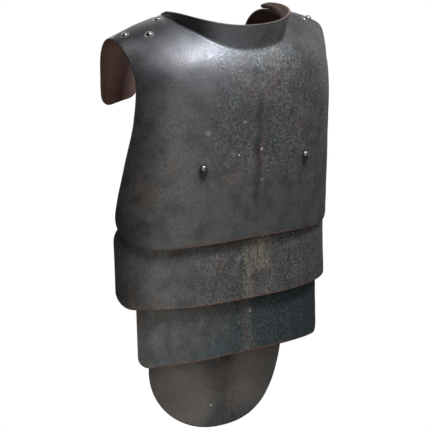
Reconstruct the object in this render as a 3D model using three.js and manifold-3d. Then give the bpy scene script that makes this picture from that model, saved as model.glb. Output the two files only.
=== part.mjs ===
// Trench body armour: a pressed steel breastplate with a turned-up collar, two hooks that go over
// the shoulders, and three curved plates that hang below it on two inner straps.
//
// Millimetres, +Z up. The wearer faces -Y, and the wearer's left is +X. The origin is where the
// armour sits on the shoulders: under the hooks at their highest line, midway between them.
//
// Every sheet is a surface of two lengths. `up` runs along its middle line and `out` runs around
// the body from the middle line, so both are lengths on the flat steel before it was bent.

import * as THREE from "three";
import { mergeGeometries, mergeVertices } from "three/addons/utils/BufferGeometryUtils.js";
import Module from "manifold-3d";

const wasm = await Module();
wasm.setup();

// Steel, straps and clearances
const plateSheet = 3.2;
const hookSheet = 3.2;
const lameSheet = 3.2;
const lay = 0.3; // between two pieces that lie on each other
const strapThickness = 3;
const strapWidth = 44;

// Breastplate, measured from its lower edge along the middle line
const plateRise = 450; // to the top of the shoulders
const halfGirth = 244; // from the middle line to a side edge
const edgeArch = 19; // how far the lower edge rises in the middle
const lowerCornerAlong = 80;
const lowerCornerUp = 59;
const rearReach = 14; // past the top of the shoulders, to the rear edge
const rearCorner = 12;

// Neck and collar
const neckHalfWidth = 101;
const neckDepth = 118;
const neckEndDrop = 5; // from the top of the shoulders down to the neck's two ends
const neckSquareness = 2.44; // 2 would be an ellipse
const collarFrontHeight = 40;
const collarEndHeight = 7; // at the neck line's two ends
const collarTipHeight = 2; // at the rear edge, where the collar runs out
const collarFrontFlare = 10; // degrees, leaning out
const collarEndFlare = 22;

// Shoulder hooks, under the breastplate's shoulders
const hookInner = 105; // from the middle line to the hook's inner edge
const hookOuter = 200;
const hookEndOuter = 187;
const hookLap = 54; // how far the hook reaches forward under the breastplate
const hookBend = 152; // from the top of the shoulder to where it points straight down
const hookFall = 48; // straight length behind the shoulder
const hookCorner = 21;
const hookEndSlant = 5; // the outer corner hangs this much lower

// How much narrower each hanging plate is than the breastplate, on each side.
const upperInset = 9;
const middleInset = 53;
const lowerInset = 99.5;

// Hanging plates. step: from the front of the edge above to the front of this plate; show: what
// shows below that edge; lap: what is hidden above it; lean: degrees, the foot forward; turn: how
// far the side edges are turned back, in degrees; power: how late that turn comes; arch: how far
// the lower edge rises at its sides compared with the middle.
const upperLame = {
  name: "upper_lame",
  halfGirth: halfGirth - upperInset, turn: 57, power: 1.87,
  step: 14, show: 104.5, lap: 40, lean: 4,
  arch: 2, corner: 30, topCorner: 34,
};
const middleLame = {
  name: "middle_lame",
  halfGirth: halfGirth - middleInset, turn: 38, power: 1.87,
  step: 19, show: 96, lap: 40, lean: 4,
  arch: -5.5, corner: 19, topCorner: 24,
};
const lowerLame = {
  name: "lower_lame",
  halfGirth: halfGirth - lowerInset, turn: 35.5, power: 1.23,
  step: 38, show: 150, lap: 40, lean: -8,
  footDepth: 128, footSquareness: 2.17, footFullness: 2.27, topCorner: 24,
};
const lames = [upperLame, middleLame, lowerLame];

// Rivets
const shank = 2.5; // radius
const dome = { radius: 5.2, height: 3.6 };
const flatHead = { radius: 5, height: 1.6 };
const tail = { radius: 4.2, height: 1.5 };
const rivetSides = 10;
const drillReach = 30;
const bellyRivet = { up: 144, out: 102 };
// Shoulder rivets. before: distance before the top of the shoulder; across: share of the hook's
// width from its inner edge.
const shoulderRivets = [
  { before: 9, across: 0.848 },
  { before: 40, across: 0.532 },
  { before: 5, across: 0.155 },
];
const lameRivetRise = 20; // above the edge that hides it

// Hanging straps
const strapTopEnd = 24; // above the belly rivet
const strapClear = 8; // between a plate's top edge and where the strap reaches that plate
const strapSlant = 30; // at least this much of the strap slants from one plate to the next
const strapEnd = 2; // below the edge that hides the lowest rivet

// The middle line's lean from the vertical, in degrees. Going up it leans forward below 0 and
// back above 0, and it points straight back at 90, on top of the shoulders.
const leanRows = [
  { at: 0, lean: -5 },
  { at: 0.245, lean: -3 },
  { at: 0.49, lean: -1 },
  { at: 0.645, lean: 11 },
  { at: 0.755, lean: 40 },
  { at: 0.855, lean: 60.5 },
  { at: 0.955, lean: 82 },
  { at: 1, lean: 90 },
];

// How far the sheet is turned back at halfGirth from the middle line, and how late that turn comes.
const turnRows = [
  { at: 0, turn: 63, power: 1.81 },
  { at: 0.378, turn: 68, power: 1.78 },
  { at: 0.71, turn: 70.5, power: 1.77 },
  { at: 0.98, turn: 32, power: 1.35 },
  { at: 1.38, turn: 22.5, power: 1.36 },
];

// The side edge, as a share of halfGirth.
const sideRows = [
  { at: 0, half: 1 },
  { at: 0.133, half: 0.995 },
  { at: 0.311, half: 0.943 },
  { at: 0.489, half: 0.88 },
  { at: 0.644, half: 0.86 },
  { at: 0.756, half: 0.857 },
  { at: 0.856, half: 0.842 },
  { at: 0.956, half: 0.84 },
  { at: 1.04, half: 0.815 },
];

// Facets
const chestRows = 11;
const shoulderStep = 9; // rows on the shoulders and hooks, near enough to keep their clearance
const cornerColumns = 3;
const plateCornerColumns = 6;
const sideColumns = 5;
const neckColumns = 16;
const collarRows = 2;
const rearRows = 2; // from the neck line's ends to the rear edge
const lameColumns = 24;
const footColumns = 18;
const lameRows = 2;
const hookColumns = 4;
const strapColumns = 4;
const walk = 1.5; // step of the sums along the middle line
const sectionSteps = 24; // steps of the sums across a section
const tiny = 0.01; // step of a direction along the neck line, as a turn
const footSpread = 0.92; // below 1 moves the U-shaped foot's columns outwards
const domeFacets = 4; // from a dome's edge to its top
const flatHeadShares = [0, 0.35, 1]; // where a flat head's profile has points, as shares of a quarter turn
const weld = 0.001; // points nearer than this become one

const radians = THREE.MathUtils.degToRad;
const columnOf = (rows, name) => rows.map((row) => row[name]);
const shares = (count) => Array.from({ length: count + 1 }, (_, k) => k / count);

// A smooth curve through stations that never swings past them: cubic pieces, whose slope at a
// station is the weighted harmonic mean of the slopes beside it, or zero at a peak.
function steadyCurve(stations, values) {
  const last = stations.length - 1;
  const gaps = stations.slice(1).map((station, k) => station - stations[k]);
  const slopes = gaps.map((gap, k) => (values[k + 1] - values[k]) / gap);
  const tangents = stations.map((_, k) => {
    if (k === 0) return slopes[0];
    if (k === last) return slopes[last - 1];
    if (slopes[k - 1] * slopes[k] <= 0) return 0;
    const before = 2 * gaps[k] + gaps[k - 1];
    const after = gaps[k] + 2 * gaps[k - 1];
    return (before + after) / (before / slopes[k - 1] + after / slopes[k]);
  });
  return (where) => {
    const at = THREE.MathUtils.clamp(where, stations[0], stations[last]);
    let k = 0;
    while (k < last - 1 && at > stations[k + 1]) k += 1;
    const t = (at - stations[k]) / gaps[k];
    const startWeight = (1 + 2 * t) * (1 - t) * (1 - t);
    const endWeight = t * t * (3 - 2 * t);
    const startBend = t * (1 - t) * (1 - t) * gaps[k];
    const endBend = t * t * (t - 1) * gaps[k];
    return startWeight * values[k] + endWeight * values[k + 1]
      + startBend * tangents[k] + endBend * tangents[k + 1];
  };
}

// Half of a level section: from the middle line the sheet turns back by turn * (out / half)^power.
// Gives how far sideways and how far back a point at `out` lies.
function sectionPoint(out, half, turn, power) {
  const stride = Math.abs(out) / sectionSteps;
  let side = 0;
  let back = 0;
  for (let k = 0; k < sectionSteps; k += 1) {
    const angle = radians(turn) * ((stride * (k + 0.5)) / half) ** power;
    side += Math.cos(angle) * stride;
    back += Math.sin(angle) * stride;
  }
  return { side: Math.sign(out) * side, back };
}

// A corner's rise above the edge: zero until `along` from the end, then a quarter ellipse.
function cornerRise(out, half, along, rise) {
  const share = THREE.MathUtils.clamp((Math.abs(out) - (half - along)) / along, 0, 1);
  return rise * (1 - Math.sqrt(1 - share * share));
}

// The middle line

const shoulderStations = [plateRise + hookBend, plateRise + hookBend + hookFall];
const leanAt = steadyCurve(
  [...leanRows.map((row) => row.at * plateRise), ...shoulderStations],
  [...columnOf(leanRows, "lean"), 180, 180],
);
const alongPlate = (rows) => rows.map((row) => row.at * plateRise);
const turnAt = steadyCurve(alongPlate(turnRows), columnOf(turnRows, "turn"));
const powerAt = steadyCurve(alongPlate(turnRows), columnOf(turnRows, "power"));
const sideAt = steadyCurve(alongPlate(sideRows), sideRows.map((row) => row.half * halfGirth));

function walkMiddleLine(length) {
  const points = [{ y: 0, z: 0 }];
  for (let up = 0; up < length; up += walk) {
    const lean = radians(leanAt(up + walk / 2));
    const { y, z } = points[points.length - 1];
    points.push({ y: y + Math.sin(lean) * walk, z: z + Math.cos(lean) * walk });
  }
  return points;
}

const lineLength = plateRise + hookBend + hookFall + hookEndSlant;
const linePoints = walkMiddleLine(lineLength + walk);

function middleLine(up) {
  const place = Math.max(up, 0) / walk;
  const k = Math.min(Math.floor(place), linePoints.length - 2);
  const share = place - k;
  const from = linePoints[k];
  const to = linePoints[k + 1];
  return { y: from.y + (to.y - from.y) * share, z: from.z + (to.z - from.z) * share };
}

// The outer face of the breastplate, carried on over the shoulders by the hooks.
function rawShell(up, out) {
  const { y, z } = middleLine(up);
  const lean = radians(leanAt(up));
  const { side, back } = sectionPoint(out, halfGirth, turnAt(up), powerAt(up));
  return new THREE.Vector3(side, y + back * Math.cos(lean), z - back * Math.sin(lean));
}

// The highest line under the hooks is the origin.
const hookMiddle = (hookInner + hookOuter) / 2;
const crest = shares(hookLap)
  .map((share) => rawShell(plateRise + hookLap * (2 * share - 1), hookMiddle))
  .reduce((best, point) => (point.z > best.z ? point : best));
const toOrigin = new THREE.Vector3(0, -crest.y, plateSheet + lay + hookSheet - crest.z);

const shell = (up, out) => rawShell(up, out).add(toOrigin);

// Walls from sheets

// The unit normal of a surface at one place, from two short steps.
function normalOf(surface, up, out) {
  const stride = 1;
  const across = surface(up, out + stride).sub(surface(up, out - stride));
  const along = surface(up + stride, out).sub(surface(up - stride, out));
  return across.cross(along).normalize();
}

// One grid of points: PlaneGeometry's corners moved to at(column, row), left to right and
// bottom to top, so that its faces keep pointing outwards.
function patch(columns, rows, at) {
  const grid = new THREE.PlaneGeometry(1, 1, columns, rows);
  const { position, uv } = grid.attributes;
  for (let k = 0; k < position.count; k += 1) {
    const point = at(Math.round(uv.getX(k) * columns), Math.round(uv.getY(k) * rows));
    position.setXYZ(k, point.x, point.y, point.z);
  }
  grid.deleteAttribute("normal");
  grid.deleteAttribute("uv");
  return grid;
}

// Patches that share their edges become one closed wall: an outer face, the same face set in by
// the thickness along the corner normals, and a strip round every free edge.
function wall(patches, thickness) {
  const face = mergeVertices(mergeGeometries(patches), weld);
  face.computeVertexNormals();
  const { position, normal } = face.attributes;
  const count = position.count;
  const points = [];
  for (const depth of [0, thickness]) {
    for (let k = 0; k < count; k += 1) {
      points.push(
        position.getX(k) - depth * normal.getX(k),
        position.getY(k) - depth * normal.getY(k),
        position.getZ(k) - depth * normal.getZ(k),
      );
    }
  }
  const corners = face.index.array;
  const edges = new Set();
  const faces = [];
  for (let k = 0; k < corners.length; k += 3) {
    const [a, b, c] = corners.slice(k, k + 3);
    faces.push(a, b, c, c + count, b + count, a + count);
    edges.add(`${a},${b}`).add(`${b},${c}`).add(`${c},${a}`);
  }
  for (const edge of edges) {
    const [a, b] = edge.split(",").map(Number);
    if (edges.has(`${b},${a}`)) continue;
    faces.push(b, a, a + count, b, a + count, b + count);
  }
  return solidGeometry(points, faces);
}

function solidGeometry(points, faces) {
  const geometry = new THREE.BufferGeometry();
  geometry.setAttribute("position", new THREE.Float32BufferAttribute(points, 3));
  geometry.setIndex(faces);
  return geometry;
}

function toManifold(geometry) {
  const bare = geometry.clone();
  bare.deleteAttribute("normal");
  bare.deleteAttribute("uv");
  const welded = mergeVertices(bare, weld);
  const faces = [];
  const corners = welded.index.array;
  for (let k = 0; k < corners.length; k += 3) {
    const [a, b, c] = corners.slice(k, k + 3);
    if (a !== b && b !== c && c !== a) faces.push(a, b, c);
  }
  return new wasm.Manifold(new wasm.Mesh({
    numProp: 3,
    vertProperties: new Float32Array(welded.attributes.position.array),
    triVerts: new Uint32Array(faces),
  }));
}

// Holes through a wall, one at each rivet's place.
function drill(geometry, places) {
  let solid = toManifold(geometry);
  for (const { point, normal } of places) {
    const radius = (shank + lay) / Math.cos(Math.PI / rivetSides);
    const bit = new THREE.CylinderGeometry(radius, radius, drillReach, rivetSides);
    bit.applyQuaternion(turnTo(normal));
    bit.translate(point.x, point.y, point.z);
    solid = solid.subtract(toManifold(bit));
  }
  const { vertProperties, triVerts } = solid.getMesh();
  return solidGeometry(Array.from(vertProperties), Array.from(triVerts));
}

const turnTo = (normal) => new THREE.Quaternion().setFromUnitVectors(
  new THREE.Vector3(0, 1, 0),
  normal,
);

const placeOn = (surface, up, out) => ({
  point: surface(up, out),
  normal: normalOf(surface, up, out),
});

// Columns across a sheet, from 0 at `from` to `half`, close together round its corner.
function columnsAcross(from, half, corner, straightCount, cornerCount = cornerColumns) {
  const straight = half - corner - from;
  return [
    ...shares(straightCount).map((share) => from + straight * share),
    ...shares(cornerCount).slice(1).map(
      (share) => half - corner + corner * Math.sin(share * Math.PI / 2),
    ),
  ];
}

// Breastplate

const neckEnd = plateRise - neckEndDrop;
const rearEdge = plateRise + rearReach;
const hookStart = neckEnd - hookLap;

// The neck line at a turn from -1 to 1, 0 in front: a rounded U. Past its two ends, out to a turn
// of 2, it runs straight back to the rear edge.
function neckLine(turn) {
  const angle = THREE.MathUtils.clamp(turn, -1, 1) * (Math.PI / 2);
  const power = 2 / neckSquareness;
  const past = THREE.MathUtils.clamp(Math.abs(turn) - 1, 0, 1);
  return {
    out: neckHalfWidth * Math.sign(turn) * Math.abs(Math.sin(angle)) ** power,
    up: neckEnd - neckDepth * Math.max(Math.cos(angle), 0) ** power + past * (rearEdge - neckEnd),
  };
}

const neckTurns = shares(neckColumns).map((share) => share * 2 - 1);
const collarTurns = [
  ...shares(rearRows).map((share) => share - 2),
  ...neckTurns.slice(1, -1),
  ...shares(rearRows).map((share) => share + 1),
];

const lowerEdge = (out) => edgeArch * (1 - (out / halfGirth) ** 2)
  + cornerRise(out, halfGirth, lowerCornerAlong, lowerCornerUp);

// Rows between the lower edge and the neck's ends, close together on the shoulders.
const shoulderRows = Math.round(hookLap / shoulderStep);
const plateRows = chestRows + shoulderRows;

function rowShare(row, bottom) {
  const chest = hookStart - bottom;
  const along = row < chestRows
    ? (chest * row) / chestRows
    : chest + (hookLap * (row - chestRows)) / shoulderRows;
  return along / (neckEnd - bottom);
}

function underNeck(column, row) {
  const { out, up } = neckLine(neckTurns[column]);
  const bottom = lowerEdge(out);
  return shell(bottom + (up - bottom) * rowShare(row, bottom), out);
}

// Beside the neck each column keeps its share of the way from the neck's end to the side edge.
const sideOuts = columnsAcross(
  neckHalfWidth, halfGirth, lowerCornerAlong, sideColumns, plateCornerColumns,
);

function besideNeck(hand) {
  return (column, row) => {
    const flat = sideOuts[hand > 0 ? column : sideOuts.length - 1 - column];
    const bottom = lowerEdge(flat);
    const rise = rearEdge - neckEnd - cornerRise(flat, halfGirth, lowerCornerAlong, rearCorner);
    const up = row <= plateRows
      ? bottom + (neckEnd - bottom) * rowShare(row, bottom)
      : neckEnd + (rise * (row - plateRows)) / rearRows;
    const share = (flat - neckHalfWidth) / (halfGirth - neckHalfWidth);
    const out = neckHalfWidth + (sideAt(up) - neckHalfWidth) * share;
    return shell(up, hand * out);
  };
}

// The collar rises from the neck line and flares outwards. It is highest in front, and runs out
// at the rear edge.
function collar(column, row) {
  const turn = collarTurns[column];
  const onNeck = (where) => {
    const { out, up } = neckLine(where);
    return shell(up, out);
  };
  const along = onNeck(turn + tiny).sub(onNeck(turn - tiny)).setZ(0).normalize();
  const outward = new THREE.Vector3(along.y, -along.x, 0);
  const front = Math.cos(Math.min(Math.abs(turn), 1) * (Math.PI / 2));
  const past = Math.max(Math.abs(turn) - 1, 0);
  const height = collarEndHeight + (collarFrontHeight - collarEndHeight) * front
    + (collarTipHeight - collarEndHeight) * past;
  const flare = radians(collarEndFlare + (collarFrontFlare - collarEndFlare) * front);
  const rise = new THREE.Vector3(0, 0, Math.cos(flare)).addScaledVector(outward, Math.sin(flare));
  return onNeck(turn).addScaledVector(rise, (height * row) / collarRows);
}

const hands = [{ side: "right", sign: -1 }, { side: "left", sign: 1 }];

const shoulderPlaces = (sign) => shoulderRivets.map(
  ({ before, across }) => placeOn(
    shell,
    plateRise - before,
    sign * (hookInner + (hookOuter - hookInner) * across),
  ),
);
const bellyPlace = (sign) => placeOn(shell, bellyRivet.up, sign * bellyRivet.out);

function makeBreastplate() {
  const columns = sideOuts.length - 1;
  const skin = wall([
    patch(neckColumns, plateRows, underNeck),
    patch(columns, plateRows + rearRows, besideNeck(-1)),
    patch(columns, plateRows + rearRows, besideNeck(1)),
    patch(collarTurns.length - 1, collarRows, collar),
  ], plateSheet);
  return drill(skin, hands.flatMap(({ sign }) => [bellyPlace(sign), ...shoulderPlaces(sign)]));
}

// Shoulder hooks

// A surface moved inwards, so that a sheet lies under another one.
const sunk = (surface, depth) => (up, out) => (
  surface(up, out).addScaledVector(normalOf(surface, up, out), -depth)
);

const hookEnd = plateRise + hookBend + hookFall;

function makeHook(sign) {
  const under = sunk(shell, plateSheet + lay);
  const rows = Math.round((hookEnd - hookStart) / shoulderStep);
  const half = (hookEndOuter - hookInner) / 2;
  const outward = columnsAcross(0, half, hookCorner, hookColumns / 2).map((out) => out / half);
  const acrossShares = [...outward.slice(1).reverse().map((share) => -share), ...outward];
  const grid = patch(acrossShares.length - 1, rows, (column, row) => {
    const share = acrossShares[sign > 0 ? column : acrossShares.length - 1 - column];
    const end = hookEnd + hookEndSlant * share - cornerRise(share * half, half, hookCorner, hookCorner);
    const up = hookStart + ((end - hookStart) * row) / rows;
    const narrowing = THREE.MathUtils.clamp((up - rearEdge) / (hookEnd - rearEdge), 0, 1);
    const outer = hookOuter + (hookEndOuter - hookOuter) * narrowing;
    const out = hookInner + ((outer - hookInner) * (share + 1)) / 2;
    return under(up, sign * out);
  });
  return drill(wall([grid], hookSheet), shoulderPlaces(sign));
}

// Hanging plates

// Each plate hangs from the lower edge of the one above it. `down` is measured from that edge.
function hangLame(lame, edge) {
  const lean = radians(lame.lean);
  const surface = (down, out) => {
    const { side, back } = sectionPoint(out, lame.halfGirth, lame.turn, lame.power);
    return new THREE.Vector3(
      side,
      edge.y + lame.step - down * Math.sin(lean) + back * Math.cos(lean),
      edge.z - down * Math.cos(lean) - back * Math.sin(lean),
    );
  };
  return { lame, surface, foot: surface(lame.show, 0) };
}

const hung = [];
let edgeAbove = shell(edgeArch, 0);
for (const lame of lames) {
  hung.push(hangLame(lame, edgeAbove));
  edgeAbove = hung[hung.length - 1].foot;
}

// A straight foot with round corners, or a U whose sides run straight into a rounded foot.
function footOf(lame, out) {
  if (lame.footDepth === undefined) {
    const sag = lame.arch * (out / lame.halfGirth) ** 2;
    return lame.show - sag - cornerRise(out, lame.halfGirth, lame.corner, lame.corner);
  }
  const reach = Math.min(Math.abs(out) / lame.halfGirth, 1) ** lame.footSquareness;
  return lame.show - lame.footDepth * (1 - (1 - reach) ** (1 / lame.footFullness));
}

function lameOuts(lame) {
  const half = lame.halfGirth;
  const outward = lame.footDepth === undefined
    ? columnsAcross(0, half, lame.corner, lameColumns / 2)
    : shares(footColumns).map((share) => half * Math.sin(share * Math.PI / 2) ** footSpread);
  return [...outward.slice(1).reverse().map((out) => -out), ...outward];
}

const surfaceDown = (surface) => (up, out) => surface(-up, out);

function makeLame({ lame, surface }) {
  const outs = lameOuts(lame);
  const grid = patch(outs.length - 1, lameRows, (column, row) => {
    const out = outs[column];
    const foot = footOf(lame, out);
    const top = cornerRise(out, lame.halfGirth, lame.topCorner, lame.topCorner) - lame.lap;
    return surface(foot + ((top - foot) * row) / lameRows, out);
  });
  return drill(wall([grid], lameSheet), hands.map(({ sign }) => lamePlace(surface, sign)));
}

const lamePlace = (surface, sign) => placeOn(
  surfaceDown(surface),
  lameRivetRise,
  sign * bellyRivet.out,
);

// Hanging straps: each lies inside the plates, one row of points after another, and slants inwards
// from one plate to the next above that plate's top edge.
function makeStrap(sign) {
  const onBreast = { surface: shell, depth: plateSheet + lay };
  const stations = [
    { ...onBreast, up: bellyRivet.up + strapTopEnd },
    { ...onBreast, up: bellyRivet.up },
    { ...onBreast, up: edgeArch + upperLame.lap + strapClear + strapSlant },
  ];
  hung.forEach(({ lame, surface }, k) => {
    const onLame = { surface: surfaceDown(surface), depth: lameSheet + lay };
    const next = lames[k + 1];
    const leave = next === undefined
      ? -strapEnd
      : -Math.max(lame.show - next.lap - strapClear - strapSlant - next.step, strapEnd);
    stations.push({ ...onLame, up: lame.lap + strapClear });
    stations.push({ ...onLame, up: lameRivetRise });
    stations.push({ ...onLame, up: leave });
  });
  const grid = patch(strapColumns, stations.length - 1, (column, row) => {
    const station = stations[stations.length - 1 - row];
    const out = sign * bellyRivet.out + strapWidth * (column / strapColumns - 0.5);
    return sunk(station.surface, station.depth)(station.up, out);
  });
  const places = [bellyPlace(sign), ...hung.map(({ surface }) => lamePlace(surface, sign))];
  return drill(wall([grid], strapThickness), places);
}

// Rivets: a head outside, a shank through the layers, and a tail spread on the inside.
function makeRivet(head, layers, domed) {
  const inside = -layers - lay;
  const profile = [
    new THREE.Vector2(0, inside - tail.height),
    new THREE.Vector2(tail.radius, inside - tail.height),
    new THREE.Vector2(tail.radius, inside),
    new THREE.Vector2(shank, inside),
    new THREE.Vector2(shank, lay),
  ];
  for (const share of domed ? shares(domeFacets) : flatHeadShares) {
    const angle = share * Math.PI / 2;
    profile.push(new THREE.Vector2(
      share === 1 ? 0 : head.radius * Math.cos(angle),
      lay + head.height * Math.sin(angle),
    ));
  }
  return new THREE.LatheGeometry(profile, rivetSides);
}

// Materials

const paint = new THREE.MeshStandardMaterial({ color: 0x454b4c, roughness: 0.5, metalness: 0.55 });
const rivetSteel = new THREE.MeshStandardMaterial({ color: 0x2e3133, roughness: 0.4, metalness: 0.8 });
const leather = new THREE.MeshStandardMaterial({ color: 0x4a3423, roughness: 0.85, metalness: 0 });

const armour = new THREE.Group();

function add(name, geometry, material, place) {
  const mesh = new THREE.Mesh(geometry, material);
  mesh.name = name;
  if (place !== undefined) {
    mesh.position.copy(place.point);
    mesh.quaternion.copy(turnTo(place.normal));
  }
  armour.add(mesh);
}

add("breastplate", makeBreastplate(), paint);
for (const plate of hung) {
  add(plate.lame.name, makeLame(plate), paint);
}
for (const { side, sign } of hands) {
  add(`${side}_shoulder_hook`, makeHook(sign), paint);
  add(`${side}_hanging_strap`, makeStrap(sign), leather);
  const shoulderLayers = plateSheet + lay + hookSheet;
  shoulderPlaces(sign).forEach((place, k) => {
    add(`${side}_shoulder_rivet_${k + 1}`, makeRivet(dome, shoulderLayers, true), rivetSteel, place);
  });
  const bellyLayers = plateSheet + lay + strapThickness;
  add(`${side}_belly_rivet`, makeRivet(dome, bellyLayers, true), rivetSteel, bellyPlace(sign));
  const lameLayers = lameSheet + lay + strapThickness;
  for (const { lame, surface } of hung) {
    const rivet = makeRivet(flatHead, lameLayers, false);
    add(`${side}_${lame.name}_rivet`, rivet, rivetSteel, lamePlace(surface, sign));
  }
}

export default armour;
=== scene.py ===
# %% [markdown]
# # Trench body armour
# A steel breastplate with a turned-up collar hangs from two hooks that go over the shoulders, and
# three curved plates hang below it on two inner straps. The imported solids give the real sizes.
# This lesson dresses them: every sheet is worked out again, far more finely, from the same
# lengths, and gets rounded cut edges, a slightly uneven face, and an aged painted finish.

import bpy
import numpy as np
from mathutils import Matrix


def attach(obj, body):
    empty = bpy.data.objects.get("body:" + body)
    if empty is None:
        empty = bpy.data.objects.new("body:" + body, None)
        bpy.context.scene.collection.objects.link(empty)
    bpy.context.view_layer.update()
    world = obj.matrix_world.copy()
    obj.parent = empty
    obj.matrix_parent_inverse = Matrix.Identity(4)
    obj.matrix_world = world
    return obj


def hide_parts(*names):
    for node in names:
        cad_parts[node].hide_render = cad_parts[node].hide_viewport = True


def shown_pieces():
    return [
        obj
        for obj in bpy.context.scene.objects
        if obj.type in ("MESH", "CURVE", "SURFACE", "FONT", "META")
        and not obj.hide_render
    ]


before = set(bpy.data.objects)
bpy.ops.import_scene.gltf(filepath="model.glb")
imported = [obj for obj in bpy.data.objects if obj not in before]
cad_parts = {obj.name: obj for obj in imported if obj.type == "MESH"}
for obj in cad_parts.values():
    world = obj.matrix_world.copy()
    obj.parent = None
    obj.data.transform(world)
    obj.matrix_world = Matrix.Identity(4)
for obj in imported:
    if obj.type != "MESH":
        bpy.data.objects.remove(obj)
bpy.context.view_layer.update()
print("solids:", len(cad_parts))

# %% [markdown]
# ## Sizes
# A pressed sheet is easiest to describe as flat steel before it was bent. `up` runs along the
# middle line from the lower edge, over the chest and the shoulders, and `out` runs around the
# body from the middle line. Both are lengths on the steel, in millimetres. The short tables say
# how the sheet leans and turns on the way up.

# %% Sizes in millimetres
SHEET = 3.2
LAY = 0.3
STRAP_THICKNESS = 3.0
STRAP_WIDTH = 44.0

PLATE_RISE = 450.0
HALF_GIRTH = 244.0
EDGE_ARCH = 19.0
LOWER_CORNER = (80.0, 59.0)
REAR_CORNER = (80.0, 12.0)
REAR_EDGE = 464.0

NECK_HALF_WIDTH = 101.0
NECK_DEPTH = 118.0
NECK_END = 445.0
NECK_SQUARENESS = 2.44
COLLAR_FRONT, COLLAR_END, COLLAR_TIP = 40.0, 7.0, 1.0
FLARE_FRONT, FLARE_END = 10.0, 22.0

HOOK_INNER, HOOK_OUTER, HOOK_END_OUTER = 105.0, 200.0, 187.0
HOOK_START, HOOK_LAP, HOOK_BEND, HOOK_END = 391.0, 54.0, 152.0, 650.0
HOOK_CORNER, HOOK_SLANT = 21.0, 5.0

# %% [markdown]
# ## How the sheet leans, turns back and narrows
# A few rows describe the whole shell. Each is read at a share of the rise, from 0 at the lower
# edge to 1 at the top of the shoulders. A row past 1 lies on the hooks, behind the shoulders.

# %% Tables: how the sheet leans, turns back and narrows
# at: share of the rise, lean: degrees from the vertical
LEAN = np.array([
    [0, -5], [0.245, -3], [0.49, -1], [0.645, 11], [0.755, 40], [0.855, 60.5], [0.955, 82], [1, 90],
])
# at, turn: degrees turned back at the full half girth, power: how late that turn comes
TURN = np.array([
    [0, 63, 1.81], [0.378, 68, 1.78], [0.71, 70.5, 1.77], [0.98, 32, 1.35], [1.38, 22.5, 1.36],
])
# at, half: the side edge as a share of the half girth
SIDE = np.array([
    [0, 1], [0.133, 0.995], [0.311, 0.943], [0.489, 0.88], [0.644, 0.86], [0.756, 0.857],
    [0.856, 0.842], [0.956, 0.84], [1.04, 0.815],
])

# %% [markdown]
# ## The hanging plates and the rivets
# The three plates differ only in numbers. `step` is how far a plate lies behind the edge above it,
# `show` how much of it shows, and `lap` how much is hidden behind that edge. A rivet's place is
# its `up` and `out` on the sheet.

# %% Tables: the hanging plates and the rivets
LAMES = {
    "upper_lame": dict(
        step=14, show=104.5, lap=40, lean=4, half=235, turn=57, power=1.87,
        arch=2, corner=30, top_corner=34,
    ),
    "middle_lame": dict(
        step=19, show=96, lap=40, lean=4, half=191, turn=38, power=1.87,
        arch=-5.5, corner=19, top_corner=24,
    ),
    "lower_lame": dict(
        step=38, show=150, lap=40, lean=-8, half=144.5, turn=35.5, power=1.23,
        foot_depth=128, foot_squareness=2.17, foot_fullness=2.27, top_corner=24,
    ),
}
BELLY_RIVET = (144.0, 102.0)
SHOULDER_RIVETS = ((441.0, 185.6), (410.0, 155.5), (445.0, 119.7))
LAME_RIVET_RISE = 20.0
HANDS = {"right": -1, "left": 1}

# %% [markdown]
# ## A curve that never overshoots
# Straight lines between the rows of a table would leave creases in the steel, and an ordinary
# spline swings past its rows and makes bulges. A cubic with chosen slopes does neither: the slope
# at a row is the harmonic mean of the slopes beside it.

# %% Steady curve
def steady_curve(stations, values):
    """A smooth curve through (stations, values) that never swings past them.

    Each piece is a cubic fixed by its two values and two slopes. The slope at a station is the
    weighted harmonic mean of the straight slopes beside it, and zero where they disagree in sign.
    """
    stations, values = np.array(stations, float), np.array(values, float)
    gaps = np.diff(stations)
    slopes = np.diff(values) / gaps
    before, after = 2 * gaps[1:] + gaps[:-1], gaps[1:] + 2 * gaps[:-1]
    agree = slopes[:-1] * slopes[1:] > 0
    left, right = np.where(agree, slopes[:-1], 1), np.where(agree, slopes[1:], 1)
    middle = np.where(agree, (before + after) / (before / left + after / right), 0)
    tangents = np.concatenate([slopes[:1], middle, slopes[-1:]])

    def curve(where):
        at = np.clip(where, stations[0], stations[-1])
        k = np.clip(np.searchsorted(stations, at, side="right") - 1, 0, len(gaps) - 1)
        t = (at - stations[k]) / gaps[k]
        start, end = (1 + 2 * t) * (1 - t) ** 2, t * t * (3 - 2 * t)
        bend_start, bend_end = t * (1 - t) ** 2 * gaps[k], t * t * (t - 1) * gaps[k]
        return (
            start * values[k] + end * values[k + 1]
            + bend_start * tangents[k] + bend_end * tangents[k + 1]
        )

    return curve


lean_at = steady_curve(
    [*LEAN[:, 0] * PLATE_RISE, PLATE_RISE + HOOK_BEND, HOOK_END], [*LEAN[:, 1], 180, 180]
)
turn_at = steady_curve(TURN[:, 0] * PLATE_RISE, TURN[:, 1])
power_at = steady_curve(TURN[:, 0] * PLATE_RISE, TURN[:, 2])
side_at = steady_curve(SIDE[:, 0] * PLATE_RISE, SIDE[:, 1] * HALF_GIRTH)
print("lean at mid chest:", round(float(lean_at(0.5 * PLATE_RISE)), 1), "degrees")

# %% [markdown]
# ## From flat steel to the bent shell
# The middle line is walked in short steps, each in the direction that the lean table gives. From
# it the sheet turns back on both sides, slowly at first and then faster. Adding up the cosines
# and sines of that turn gives how far sideways and back a point lies, so no length is stretched.

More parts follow.
